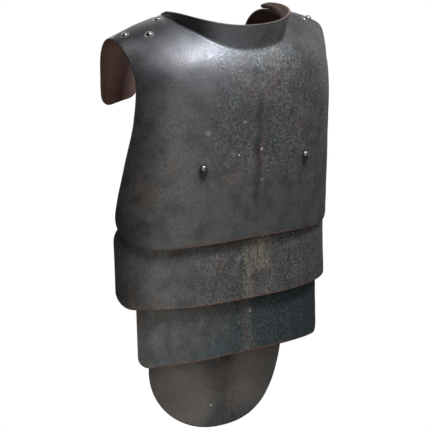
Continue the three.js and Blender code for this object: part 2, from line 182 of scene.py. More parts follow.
# %% Shell of the breastplate and hooks
WALK = 0.5
WALK_PAST = 20.0
SECTION_STEPS = 24
CREST_STATIONS = 55
line_up = np.arange(0, HOOK_END + HOOK_SLANT + WALK_PAST, WALK)
line_lean = np.radians(lean_at(line_up + WALK / 2))
line_y = np.concatenate([[0], np.cumsum(np.sin(line_lean) * WALK)[:-1]])
line_z = np.concatenate([[0], np.cumsum(np.cos(line_lean) * WALK)[:-1]])


def section_point(out, half, turn, power):
    """Sideways and backward reach of a point `out` along a section.

    The sheet's turn at a length s is turn * (s / half) ** power. Sideways is the sum of its
    cosine over s from 0 to out, and back is the sum of its sine.
    """
    steps = (np.arange(SECTION_STEPS) + 0.5) / SECTION_STEPS
    length = np.abs(out)[..., None] * steps / half
    angle = np.radians(turn)[..., None] * length ** np.asarray(power)[..., None]
    return out * np.cos(angle).mean(-1), np.abs(out) * np.sin(angle).mean(-1)


def raw_shell(up, out):
    """(sideways, middle line's y + back * cos lean, middle line's z - back * sin lean)."""
    up, out = np.broadcast_arrays(np.asarray(up, float), np.asarray(out, float))
    lean = np.radians(lean_at(up))
    side, back = section_point(out, HALF_GIRTH, turn_at(up), power_at(up))
    y = np.interp(up, line_up, line_y) + back * np.cos(lean)
    z = np.interp(up, line_up, line_z) - back * np.sin(lean)
    return np.stack([side, y, z], -1)


crest_line = raw_shell(
    PLATE_RISE + HOOK_LAP * np.linspace(-1, 1, CREST_STATIONS), (HOOK_INNER + HOOK_OUTER) / 2
)
crest = crest_line[crest_line[:, 2].argmax()]
to_origin = np.array([0, -crest[1], 2 * SHEET + LAY - crest[2]])


def shell(up, out):
    """The outer face of the breastplate and hooks, with the origin under the hooks' crest."""
    return raw_shell(up, out) + to_origin


def normals_of(surface, up, out, stride=1.0):
    """Unit normals: the cross product of two short steps on the surface."""
    across = surface(up, out + stride) - surface(up, out - stride)
    along = surface(up + stride, out) - surface(up - stride, out)
    normal = np.cross(across, along)
    return normal / np.linalg.norm(normal, axis=-1, keepdims=True)


def sunk(surface, depth):
    """The same surface moved inwards by depth, for a sheet that lies under another one."""
    return lambda up, out: surface(up, out) - depth * normals_of(surface, up, out)


def corner_rise(out, half, along, rise):
    """Zero until `along` from the end, then a quarter ellipse: rise * (1 - sqrt(1 - s * s))."""
    share = np.clip((np.abs(out) - (half - along)) / along, 0, 1)
    return rise * (1 - np.sqrt(1 - share * share))


print("lower edge, middle:", shell(EDGE_ARCH, 0.0).round(1))

# %% [markdown]
# ## Walls with rounded cut edges
# A Solidify modifier would do, but a Bevel after it fails where the mesh is very fine near a
# corner. So the wall is made here at once: the outer face, the same face set in by the sheet's
# thickness, and a half ellipse carried round every free edge, as on steel that was cut and then
# filed. The next cells make its parts, and the first is a grid of points on a surface.

# %% Grids on the sheet
def grid_quads(rows, columns):
    """Quads of a grid stored row by row, so that left to right and bottom to top face outwards."""
    index = np.arange(rows * columns).reshape(rows, columns)
    corners = (index[:-1, :-1], index[:-1, 1:], index[1:, 1:], index[1:, :-1])
    return np.stack(corners, -1).reshape(-1, 4)


def patch(surface, up, out):
    """One grid of points with their flat places (out, up)."""
    up, out = np.broadcast_arrays(up, out)
    return surface(up, out), np.stack([out, up], -1)


def outs_across(start, half, corner, straight_count, corner_count):
    """Columns from start to half, ever closer together round the corner of the sheet."""
    straight = np.linspace(start, half - corner, straight_count + 1)[:-1]
    turn = np.linspace(0, np.pi / 2, corner_count + 1)
    return np.concatenate([straight, half - corner + corner * np.sin(turn)])


def both_sides(outs):
    """The same columns mirrored, from the far right of the wearer to the far left."""
    return np.concatenate([-outs[:0:-1], outs])

# %% [markdown]
# ## One sheet from several grids
# Grids that share an edge are merged into one face where their points meet. A sheet that was
# rolled and pressed is never quite even, so the merged face is then moved in and out a little.

# %% Welding and unevenness
WELD_DIGITS = 2


def welded(patches):
    """Points, flat places and quads of patches that share their edges, merged into one face."""
    points = np.concatenate([p.reshape(-1, 3) for p, _ in patches])
    flat = np.concatenate([f.reshape(-1, 2) for _, f in patches])
    quads, start = [], 0
    for place, _ in patches:
        quads.append(grid_quads(*place.shape[:2]) + start)
        start += place.shape[0] * place.shape[1]
    _, first, merged = np.unique(
        points.round(WELD_DIGITS), axis=0, return_index=True, return_inverse=True
    )
    return points[first], flat[first], merged.reshape(-1)[np.concatenate(quads)]


def uneven(points):
    """Rolled and pressed steel is never quite even: three slow waves, up to 0.5 mm in all.

    Each wave is the sine of a sum of x, y and z over its own lengths.
    """
    x, y, z = points[..., 0], points[..., 1], points[..., 2]
    return (
        0.22 * np.sin(x / 21 + 1.3 * np.sin(z / 47) + y / 60)
        + 0.16 * np.sin(z / 17 + 1.7 * np.sin(x / 39 + 2) - y / 35)
        + 0.10 * np.sin((x + z) / 9 + 2 * np.sin((x - z) / 23))
    )

# %% [markdown]
# ## Which way the sheet faces, and where it ends
# The wall needs the direction square to the sheet at each point. It also needs the cut edge, which
# is every edge that belongs to one quad only.

# %% Normals and free edges
def vertex_normals(points, quads):
    """The sum of the cross products of the diagonals of the quads round a point, made a unit."""
    a, b, c, d = (points[quads[:, k]] for k in range(4))
    face = np.cross(c - a, d - b)
    normal = np.zeros_like(points)
    for k in range(4):
        np.add.at(normal, quads[:, k], face)
    return normal / np.linalg.norm(normal, axis=1, keepdims=True)


def free_edges(quads):
    """Edges that belong to one quad only, in the direction in which that quad runs."""
    starts, ends = quads.reshape(-1), np.roll(quads, -1, axis=1).reshape(-1)
    count = quads.max() + 1
    free = ~np.isin(starts * count + ends, ends * count + starts)
    return starts[free], ends[free]

# %% [markdown]
# ## Distances for the finish
# Paint wears off at cut edges, and steel is rubbed bright round a rivet head. Each point keeps
# both distances, so that the finish can follow them.

# %% Distances
EDGE_REACH = 25.0
CHUNK = 1500


def edge_distance(points, edge_points):
    """Distance from each point to the nearest of the edge points, a chunk at a time."""
    nearest = np.empty(len(points))
    for start in range(0, len(points), CHUNK):
        gap = points[start:start + CHUNK, None] - edge_points[None]
        nearest[start:start + CHUNK] = np.sqrt((gap ** 2).sum(-1).min(1))
    return np.minimum(nearest, EDGE_REACH)


def rivet_distance(flat):
    """Distance on the flat steel to the nearest rivet of the shoulders and belly."""
    rivets = np.array([BELLY_RIVET, *SHOULDER_RIVETS])
    out_gap = np.abs(flat[:, None, 0]) - rivets[None, :, 1]
    return np.hypot(out_gap, flat[:, None, 1] - rivets[None, :, 0]).min(1)

# %% [markdown]
# ## A mesh that carries marks
# The marks are numbers on the points, and the place on the flat steel becomes the UV map.

# %% Mesh object
METRES = 0.001


def add_mesh(name, points, quads, marks=None, flat=None):
    """A smooth-shaded object at the origin; marks are one number per point, flat is its UV."""
    mesh = bpy.data.meshes.new(name)
    mesh.from_pydata(points * METRES, [], quads)
    mesh.polygons.foreach_set("use_smooth", np.ones(len(mesh.polygons), bool))
    for mark, values in (marks or {}).items():
        mesh.attributes.new(mark, "FLOAT", "POINT").data.foreach_set("value", values.astype("f4"))
    if flat is not None:
        corners = np.empty(len(mesh.loops), "i4")
        mesh.loops.foreach_get("vertex_index", corners)
        layer = mesh.uv_layers.new(name="flat")
        layer.data.foreach_set("uv", (flat[corners] * METRES).astype("f4").reshape(-1))
    piece = bpy.data.objects.new(name, mesh)
    bpy.context.scene.collection.objects.link(piece)
    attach(piece, "root")
    return piece

# %% [markdown]
# ## The wall
# Outer face, inner face and rim are joined point to point, so the wall is closed everywhere.

# %% The wall
RIM_STEPS = 6
RIM_BULGE = 0.8


def edge_directions(points, normal, starts, ends):
    """The points of the free edge, and at each the unit direction away from the sheet."""
    outward = np.zeros_like(points)
    sideways = np.cross(points[ends] - points[starts], normal[starts])
    np.add.at(outward, starts, sideways)
    np.add.at(outward, ends, sideways)
    rim = np.unique(starts)
    return rim, outward[rim] / np.linalg.norm(outward[rim], axis=1, keepdims=True)


def rim_strips(count, rim, starts, ends):
    """Quads from the outer face's edge, over the rings of the rim, to the inner face's edge.

    The points are stored as the outer face, then the inner face, then one ring after another.
    """
    place = np.full(count, -1)
    place[rim] = np.arange(len(rim))
    rings = [np.arange(count)]
    rings += [2 * count + k * len(rim) + place for k in range(RIM_STEPS - 1)]
    rings += [np.arange(count) + count]
    return [
        np.stack([near[ends], near[starts], far[starts], far[ends]], -1)
        for near, far in zip(rings[:-1], rings[1:])
    ]


def wall_marks(outer, flat, rim, angles):
    """For each point: metres to a rivet, metres to a cut edge, and 0 outside to 1 inside."""
    beside = rivet_distance(flat)
    gap = edge_distance(outer, outer[rim])
    on_rim = np.zeros(len(rim) * len(angles))
    inside = [np.zeros(len(outer)), np.ones(len(outer)), np.repeat(angles / np.pi, len(rim))]
    return {
        "rivet": np.concatenate([beside, beside, np.tile(beside[rim], len(angles))]) * METRES,
        "edge": np.concatenate([gap, gap, on_rim]) * METRES,
        "inside": np.concatenate(inside),
    }


def make_wall(name, patches, thickness, waves=1.0):
    """A closed wall from patches of (points, flat places).

    The rim is a half ellipse: middle of the edge + thickness / 2 * cos(a) along the normal
    + bulge * sin(a) away from the sheet, for a from 0 at the outer face to pi at the inner face.
    """
    outer, flat, quads = welded(patches)
    outer = outer + waves * uneven(outer)[:, None] * vertex_normals(outer, quads)
    normal = vertex_normals(outer, quads)
    inner = outer - thickness * normal
    starts, ends = free_edges(quads)
    rim, away = edge_directions(outer, normal, starts, ends)
    angles = np.pi * np.arange(1, RIM_STEPS) / RIM_STEPS
    rings = [
        (outer[rim] + inner[rim]) / 2
        + thickness / 2 * np.cos(a) * normal[rim] + RIM_BULGE * np.sin(a) * away
        for a in angles
    ]
    strips = rim_strips(len(outer), rim, starts, ends)
    return add_mesh(
        name,
        np.concatenate([outer, inner, *rings]),
        np.concatenate([quads, quads[:, ::-1] + len(outer), *strips]),
        wall_marks(outer, flat, rim, angles),
        np.concatenate([flat, flat, *[flat[rim]] * len(angles)]),
    )

# %% [markdown]
# ## Breastplate
# The real one is one pressed sheet. It is made of grids that share their edges: the breast
# under the neck, the sheet beside the neck up to the rear edge, and a band that follows the neck
# line, turns up in a small round crease and becomes the collar.

# %% Neck line
NECK_COLUMNS = 150
REAR_ROWS = 8
BAND = 13.0
CREASE = 5.0
TINY = 0.002
FINE_TURNS = 4001


def neck_line(turn):
    """(out, up) on a rounded U: half width * sin(a) ** p, and end - depth * cos(a) ** p.

    a is turn * 90 degrees and p is 2 / squareness. Past a turn of 1 it runs straight back.
    """
    a = np.clip(turn, -1, 1) * np.pi / 2
    power = 2 / NECK_SQUARENESS
    past = np.clip(np.abs(turn) - 1, 0, 1)
    out = NECK_HALF_WIDTH * np.sign(turn) * np.abs(np.sin(a)) ** power
    up = NECK_END - NECK_DEPTH * np.cos(a).clip(0) ** power + past * (REAR_EDGE - NECK_END)
    return out, up


def beside_neck_line(turn, distance):
    """(out, up) at a distance from the neck line, square to it, away from the neck."""
    out, up = neck_line(turn)
    out_after, up_after = neck_line(turn + TINY)
    out_before, up_before = neck_line(turn - TINY)
    straight = np.abs(turn) >= 1
    run = np.where(straight, 0, out_after - out_before)
    rise = np.where(straight, np.sign(turn), up_after - up_before)
    length = np.hypot(run, rise)
    return out + distance * rise / length, up - distance * run / length


def even_turns(count):
    """Turns from -1 to 1 that are evenly spaced along the neck line."""
    turn = np.linspace(-1, 1, FINE_TURNS)
    out, up = neck_line(turn)
    length = np.concatenate([[0], np.cumsum(np.hypot(np.diff(out), np.diff(up)))])
    turns = np.interp(np.linspace(0, length[-1], count + 1), length, turn)
    return (turns - turns[::-1]) / 2


neck_turns = even_turns(NECK_COLUMNS)
band_out, band_up = beside_neck_line(neck_turns, BAND)
STEEP = int((np.diff(band_up)[::-1] > np.diff(band_out)[::-1]).argmin())
print("neck line: steeper than 45 degrees in", STEEP, "of", NECK_COLUMNS, "steps on each side")

# %% [markdown]
# ## Breast and shoulders
# A grid with a square corner would pinch at the round lower corners and at the neck. So the rows
# and columns draw closer together round each corner, and the grids meet where the neck line is
# at 45 degrees, where neither one is squeezed.

# %% Breast and shoulders
PLATE_ROWS = 130
SIDE_COLUMNS, CORNER_COLUMNS = 30, 36


def lower_edge(out):
    """Arched in the middle, with big round corners."""
    return EDGE_ARCH * (1 - (out / HALF_GIRTH) ** 2) + corner_rise(out, HALF_GIRTH, *LOWER_CORNER)


def under_neck():
    """Columns that end where the band round the neck line is less steep than 45 degrees."""
    out, top = band_out[STEEP:-STEEP], band_up[STEEP:-STEEP]
    bottom = lower_edge(out)
    share = np.linspace(0, 1, PLATE_ROWS + 1)[:, None]
    return patch(shell, bottom + (top - bottom) * share, out)


def beside_neck(sign):
    """Rows that start on the column under the neck, then on the steep band, then at the rear.

    Each point keeps its share of the way from there to the side edge.
    """
    first, level = band_out[-STEEP - 1], band_up[-STEEP - 1]
    flat = outs_across(first, HALF_GIRTH, LOWER_CORNER[0], SIDE_COLUMNS, CORNER_COLUMNS)
    bottom = lower_edge(flat)
    share = np.linspace(0, 1, PLATE_ROWS + 1)[:, None]
    rear_share = np.linspace(0, 1, REAR_ROWS + 1)[1:, None]
    rise = REAR_EDGE - NECK_END - corner_rise(flat, HALF_GIRTH, *REAR_CORNER)
    beside_band = np.broadcast_to(band_up[-STEEP:, None], (STEEP, len(flat)))
    up = np.concatenate(
        [bottom + (level - bottom) * share, beside_band, NECK_END + rise * rear_share]
    )
    inner = np.concatenate(
        [np.full(PLATE_ROWS + 1, first), band_out[-STEEP:], np.full(REAR_ROWS, band_out[-1])]
    )[:, None]
    out = inner + (side_at(up) - inner) * (flat - first) / (HALF_GIRTH - first)
    points, place = patch(shell, up, sign * out)
    return (points, place) if sign > 0 else (points[:, ::-1], place[:, ::-1])

# %% [markdown]
# ## Crease and collar
# The collar isn't a separate strip: the neck edge of the sheet was hammered up. A small curve
# joins the two, because a sharp fold would crack real steel and catch the light as a hard line.

# %% Crease and collar
BAND_ROWS, CREASE_ROWS, COLLAR_ROWS = 4, 8, 14
# where the collar is low, the crease ends at this share of its height
CREASE_SHARE = 0.6


def collar_directions(turn):
    """The unit direction in which the collar rises, and its height, at each turn."""
    ahead, behind = neck_line(turn + TINY), neck_line(turn - TINY)
    along = shell(ahead[1], ahead[0]) - shell(behind[1], behind[0])
    along[:, 2] = 0
    along /= np.linalg.norm(along, axis=1, keepdims=True)
    outward = np.stack([along[:, 1], -along[:, 0], np.zeros(len(turn))], -1)
    front = np.cos(np.minimum(np.abs(turn), 1) * np.pi / 2)
    past = np.maximum(np.abs(turn) - 1, 0)
    height = COLLAR_END + (COLLAR_FRONT - COLLAR_END) * front + (COLLAR_TIP - COLLAR_END) * past
    flare = np.radians(FLARE_END + (FLARE_FRONT - FLARE_END) * front)[:, None]
    return np.cos(flare) * np.array([0, 0, 1]) + np.sin(flare) * outward, height


def neck_band():
    """The sheet round the neck: flat band, a crease that is a quadratic curve, then the collar.

    The crease starts a crease length before the neck line, aims at the neck line, and ends a
    crease length up the collar: (1 - t)^2 * start + 2 t (1 - t) * line + t^2 * end.
    """
    rear = np.linspace(0, 1, REAR_ROWS + 1)
    turn = np.concatenate([rear - 2, neck_turns[1:-1], rear + 1])
    rise, height = collar_directions(turn)
    line = shell(*neck_line(turn)[::-1])
    rows, places = [], []
    for distance in np.linspace(BAND, CREASE, BAND_ROWS + 1):
        out, up = beside_neck_line(turn, distance)
        rows.append(shell(up, out))
        places.append(np.stack([out, up], -1))
    start = rows[-1]
    reach = np.minimum(CREASE, CREASE_SHARE * height)[:, None]
    end = line + reach * rise
    out, up = neck_line(turn)
    for t in np.linspace(0, 1, CREASE_ROWS + 1)[1:]:
        rows.append((1 - t) ** 2 * start + 2 * t * (1 - t) * line + t * t * end)
        places.append(np.stack([out, up + CREASE * (2 * t - 1)], -1))
    for t in np.linspace(0, 1, COLLAR_ROWS + 1)[1:]:
        length = reach + (height[:, None] - reach) * t
        rows.append(line + length * rise)
        places.append(np.stack([out, up + length[:, 0]], -1))
    return np.stack(rows), np.stack(places)


breastplate = make_wall(
    "breastplate_steel", [under_neck(), beside_neck(-1), beside_neck(1), neck_band()], SHEET
)
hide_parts("breastplate")
print("breastplate:", len(breastplate.data.polygons), "faces")

# %% [markdown]
# ## Shoulder hooks
# Each hook is a steel band, riveted under the breastplate, that carries the shell's curve on over
# the shoulder and down the back. It lies 0.3 mm under the breastplate's inner face.

# %% Hooks
HOOK_ROWS = 120
HOOK_COLUMNS = (12, 16)


def hook_patch(sign):
    """A band under the shell that narrows behind the shoulder and ends in round corners."""
    half = (HOOK_END_OUTER - HOOK_INNER) / 2
    share = both_sides(outs_across(0, half, HOOK_CORNER, *HOOK_COLUMNS)) / half
    end = HOOK_END + HOOK_SLANT * share
    end = end - corner_rise(share * half, half, HOOK_CORNER, HOOK_CORNER)
    up = HOOK_START + (end - HOOK_START) * np.linspace(0, 1, HOOK_ROWS + 1)[:, None]
    narrowing = np.clip((up - REAR_EDGE) / (HOOK_END - REAR_EDGE), 0, 1)
    outer = HOOK_OUTER + (HOOK_END_OUTER - HOOK_OUTER) * narrowing
    out = HOOK_INNER + (outer - HOOK_INNER) * (share + 1) / 2
    points, place = patch(sunk(shell, SHEET + LAY), up, sign * out)
    return (points, place) if sign > 0 else (points[:, ::-1], place[:, ::-1])


for side, sign in HANDS.items():
    hook = make_wall(f"{side}_shoulder_hook_steel", [hook_patch(sign)], SHEET)
    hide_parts(f"{side}_shoulder_hook")
    print(hook.name, len(hook.data.polygons), "faces")

# %% [markdown]
# ## Hanging plates
# Each plate hangs behind the lower edge of the one above. `down` is measured from that edge.
# Two have straight feet with round corners, and the lowest ends in a broad U.

# %% Hanging plates
LAME_ROWS = 64
LAME_COLUMNS = (30, 44)
# the share of the half width over which the U-shaped foot draws its columns closer
U_BEND = 0.7
lame_surfaces = {}


def hang(lame, edge):
    """The plate's face: a section turned back like the breast's, leaning as it goes down."""
    lean = np.radians(lame["lean"])

    def surface(down, out):
        down, out = np.broadcast_arrays(np.asarray(down, float), np.asarray(out, float))
        turn, power = np.full(out.shape, lame["turn"]), np.full(out.shape, lame["power"])
        side, back = section_point(out, lame["half"], turn, power)
        y = edge[1] + lame["step"] - down * np.sin(lean) + back * np.cos(lean)
        z = edge[2] - down * np.cos(lean) - back * np.sin(lean)
        return np.stack([side, y, z], -1)

    return surface


def foot_of(lame, out):
    """How far down the foot lies: straight with round corners, or a broad U.

    With s = out / half, the U lies at show - depth * (1 - (1 - s ** squareness) ** (1 / fullness)).
    """
    share = np.minimum(np.abs(out) / lame["half"], 1)
    if "foot_depth" in lame:
        full = (1 - share ** lame["foot_squareness"]) ** (1 / lame["foot_fullness"])
        return lame["show"] - lame["foot_depth"] * (1 - full)
    rise = corner_rise(out, lame["half"], lame["corner"], lame["corner"])
    return lame["show"] - lame["arch"] * share ** 2 - rise


edge = shell(EDGE_ARCH, 0.0)
for name, lame in LAMES.items():
    surface = hang(lame, edge)
    edge = surface(lame["show"], 0.0)
    lame_surfaces[name] = surface
    bend = lame.get("corner", lame["half"] * U_BEND)
    out = both_sides(outs_across(0, lame["half"], bend, *LAME_COLUMNS))
    top = corner_rise(out, lame["half"], lame["top_corner"], lame["top_corner"]) - lame["lap"]
    foot = foot_of(lame, out)
    down = foot + (top - foot) * np.linspace(0, 1, LAME_ROWS + 1)[:, None]
    points, place = patch(surface, down, out)
    piece = make_wall(f"{name}_steel", [(points, place * (1, -1))], SHEET)
    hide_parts(name)
    print(piece.name, len(piece.data.polygons), "faces")

# %% [markdown]
# ## Hanging straps
# Two leather straps carry the hanging plates on the inside. Each lies against every plate near
# its rivet and slants inwards to the next. Corner points in a table would leave sharp folds, so
# the strap's path is sampled finely and smoothed with a running mean.

# %% Straps
STRAP_CLEAR, STRAP_SLANT, STRAP_END, STRAP_TOP = 8.0, 30.0, 2.0, 24.0
STRAP_STEP, STRAP_MEAN, STRAP_COLUMNS = 1.5, 7, 28


def surface_down(surface):
    """The same face, measured upwards."""
    return lambda up, out: surface(-np.asarray(up, float), out)


def strap_stations():
    """(surface, depth, up) of each place where the strap lies against a plate."""
    on_breast = (shell, SHEET + LAY)
    lames = list(LAMES.items())
    leave = EDGE_ARCH + lames[0][1]["lap"] + STRAP_CLEAR + STRAP_SLANT
    ups = (BELLY_RIVET[0] + STRAP_TOP, BELLY_RIVET[0], leave)
    stations = [(*on_breast, up) for up in ups]
    for k, (name, lame) in enumerate(lames):
        face = surface_down(lame_surfaces[name])
        leave = -STRAP_END
        if k + 1 < len(lames):
            after = lames[k + 1][1]
            left = lame["show"] - after["lap"] - STRAP_CLEAR - STRAP_SLANT - after["step"]
            leave = -max(left, STRAP_END)
        for up in (lame["lap"] + STRAP_CLEAR, LAME_RIVET_RISE, leave):
            stations.append((face, SHEET + LAY, up))
    return stations[::-1]


def strap_patch(sign):
    """A band through the stations, smoothed along its length; its flat place is (across, along)."""
    across = np.linspace(-0.5, 0.5, STRAP_COLUMNS + 1) * STRAP_WIDTH
    out = sign * BELLY_RIVET[1] + across
    rows = np.stack([sunk(face, depth)(up, out) for face, depth, up in strap_stations()])
    steps = np.linalg.norm(np.diff(rows[:, STRAP_COLUMNS // 2], axis=0), axis=1)
    length = np.concatenate([[0], np.cumsum(steps)])
    at = np.linspace(0, length[-1], int(length[-1] / STRAP_STEP) + 1)
    k = np.clip(np.searchsorted(length, at, side="right") - 1, 0, len(steps) - 1)
    share = ((at - length[k]) / steps[k])[:, None, None]
    fine = rows[k] + (rows[k + 1] - rows[k]) * share
    pad = STRAP_MEAN // 2
    first, last = 2 * fine[:1] - fine[pad:0:-1], 2 * fine[-1:] - fine[-2:-pad - 2:-1]
    long = np.concatenate([first, fine, last])
    smooth = sum(long[k:k + len(fine)] for k in range(STRAP_MEAN)) / STRAP_MEAN
    return smooth, np.stack(np.broadcast_arrays(across, at[:, None]), -1)


for side, sign in HANDS.items():
    strap = make_wall(f"{side}_hanging_strap_leather", [strap_patch(sign)], STRAP_THICKNESS, 0)
    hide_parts(f"{side}_hanging_strap")
    print(strap.name, len(strap.data.polygons), "faces")

# %% [markdown]
# ## Rivets
# A rivet is turned: one profile carried round its axis. A dome that was set with a hammer is not
# quite round, so a few low waves are pressed into the head.

# %% Rivets
RIVET_SIDES = 40
HEAD_STEPS = 14
SHANK_RADIUS = 2.5
POLE_RADIUS = 0.02
# radius and height
TAIL = (4.2, 1.5)
DOME = (5.2, 3.6)
FLAT_HEAD = (5.0, 1.6)
# the head's lower edge, as shares of its radius and of the gap under it
UNDERCUT = (0.96, 0.3)
# depth of the waves on a head, and the share of it that also moves the face along the axis
DENT, DENT_LIFT = 0.12, 0.5
BELLY_SEED = 5


def rivet_profile(head, layers):
    """Radius and height along the rivet: tail, shank, then an elliptic head."""
    inside = -layers - LAY
    tail_angle = np.linspace(-np.pi / 2, 0, HEAD_STEPS)
    tail = np.stack(
        [TAIL[0] * np.cos(tail_angle), inside + TAIL[1] * np.sin(tail_angle)], -1
    )
    under = [head[0] * UNDERCUT[0], LAY * UNDERCUT[1]]
    shank = np.array([[SHANK_RADIUS, inside], [SHANK_RADIUS, LAY], under])
    head_angle = np.linspace(0, np.pi / 2, HEAD_STEPS)
    top = np.stack([head[0] * np.cos(head_angle), LAY + head[1] * np.sin(head_angle)], -1)
    profile = np.concatenate([tail, shank, top])
    profile[[0, -1], 0] = POLE_RADIUS
    return profile


def frame_on(normal):
    """Two unit directions square to the normal."""
    side = np.cross(normal, [0, 0, 1])
    side /= np.linalg.norm(side)
    return side, np.cross(side, normal)


def rivet_dents(radius, height, angle, head, seed):
    """Low waves on the head: dent * sin(3 * angle + seed) * sin(2 * height + seed).

    They fade out on the inner half of the head, towards the top where all sides meet.
    """
    dents = DENT * np.sin(3 * angle + seed) * np.sin(height * 2 + seed)
    return dents * (height > LAY) * np.minimum(radius / head[0] * 2, 1)


def turned_faces(rows, columns):
    """Quads round the axis, and one small face that closes each end.

    Seen from the head the angle turns clockwise, so the quads run the other way round.
    """
    quads = grid_quads(rows, columns + 1)[:, ::-1]
    row, column = quads // (columns + 1), quads % (columns + 1) % columns
    first = np.arange(columns)
    caps = [first.tolist(), (rows * columns - 1 - first).tolist()]
    return (row * columns + column).tolist() + caps


def add_rivet(node, surface, up, out, head, layers, seed):
    """The profile carried round the sheet's normal, with the head dented by low waves."""
    point, normal = surface(up, out), normals_of(surface, up, out)
    side, other = frame_on(normal)
    profile = rivet_profile(head, layers)
    angle = 2 * np.pi * np.arange(RIVET_SIDES) / RIVET_SIDES
    radius, height = profile[:, None, 0], profile[:, None, 1]
    dents = rivet_dents(radius, height, angle, head, seed)
    radius, height = radius + dents, height + DENT_LIFT * dents
    turned = np.cos(angle)[:, None] * side + np.sin(angle)[:, None] * other
    points = point + radius[..., None] * turned + height[..., None] * normal
    piece = add_mesh(f"{node}_head", points.reshape(-1, 3), turned_faces(*points.shape[:2]))
    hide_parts(node)


for side, sign in HANDS.items():
    for k, (up, out) in enumerate(SHOULDER_RIVETS):
        node = f"{side}_shoulder_rivet_{k + 1}"
        add_rivet(node, shell, up, sign * out, DOME, 2 * SHEET + LAY, k + sign)
    belly_layers = SHEET + LAY + STRAP_THICKNESS
    up, out = BELLY_RIVET
    add_rivet(f"{side}_belly_rivet", shell, up, sign * out, DOME, belly_layers, BELLY_SEED)
    for k, name in enumerate(LAMES):
        face = surface_down(lame_surfaces[name])
        node = f"{side}_{name}_rivet"
        add_rivet(node, face, LAME_RIVET_RISE, sign * out, FLAT_HEAD, belly_layers, k)
print("rivets: 14, each with", RIVET_SIDES, "sides")

# %% [markdown]
# ## Finishes
# The paint is old: dark blue-grey and grey-green, dulled by brown patina, pitted all over, with
# fine pale speckle where the steel was cleaned and streaks of rust down the middle. One recipe
# makes all the sheets, and a short table says how much of each sign of age a piece has. Nothing
# is an image: noise at five sizes, read in the object's own coordinates, makes every pattern.
# The marks of the mesh say where the cut edges and the unpainted inside are.

# %% Colours
# linear red, green and blue
SLATE = (0.050, 0.052, 0.052)
GREY_GREEN = (0.142, 0.142, 0.135)
BROWN = (0.135, 0.102, 0.080)
TEAL = (0.048, 0.078, 0.086)
DEEP_TEAL = (0.020, 0.034, 0.038)
# painted highlight colour: blue-grey laid only where the key's highlight falls on the upper chest, so
# that the highlight reads cool
HIGHLIGHT_BLUE = (0.106, 0.110, 0.124)
RUST = (0.250, 0.120, 0.075)
KHAKI = (0.330, 0.285, 0.190)
PALE = (0.460, 0.445, 0.400)
WHITE = (0.900, 0.900, 0.880)
PINK = (0.320, 0.240, 0.215)
# pale buff, for patches that lighten the lowest plate
PALE_BUFF = (0.260, 0.240, 0.215)
DARK = (0.018, 0.018, 0.018)
INNER_RUST = (0.190, 0.100, 0.076)
INNER_DARK = (0.100, 0.055, 0.045)
# painted light: a paler rust for the inside of the hooks where light reaches it
PAINTED_LIGHT_RUST = (0.280, 0.155, 0.115)
HOLLOW_STEEL = (0.060, 0.060, 0.062)
BRIGHT_STEEL = (0.260, 0.260, 0.260)
CREASED_LEATHER = (0.040, 0.021, 0.012)
DRY_LEATHER = (0.105, 0.058, 0.030)
RUBBED_LEATHER = (0.160, 0.100, 0.060)

# %% [markdown]
# ## A board for materials
# A shader has dozens of nodes, and wiring them one by one hides what they do. A small board with
# short calls for sums, products, windows, noise and laying one colour on another keeps the recipes
# readable, and every finish of the armour is written on one.

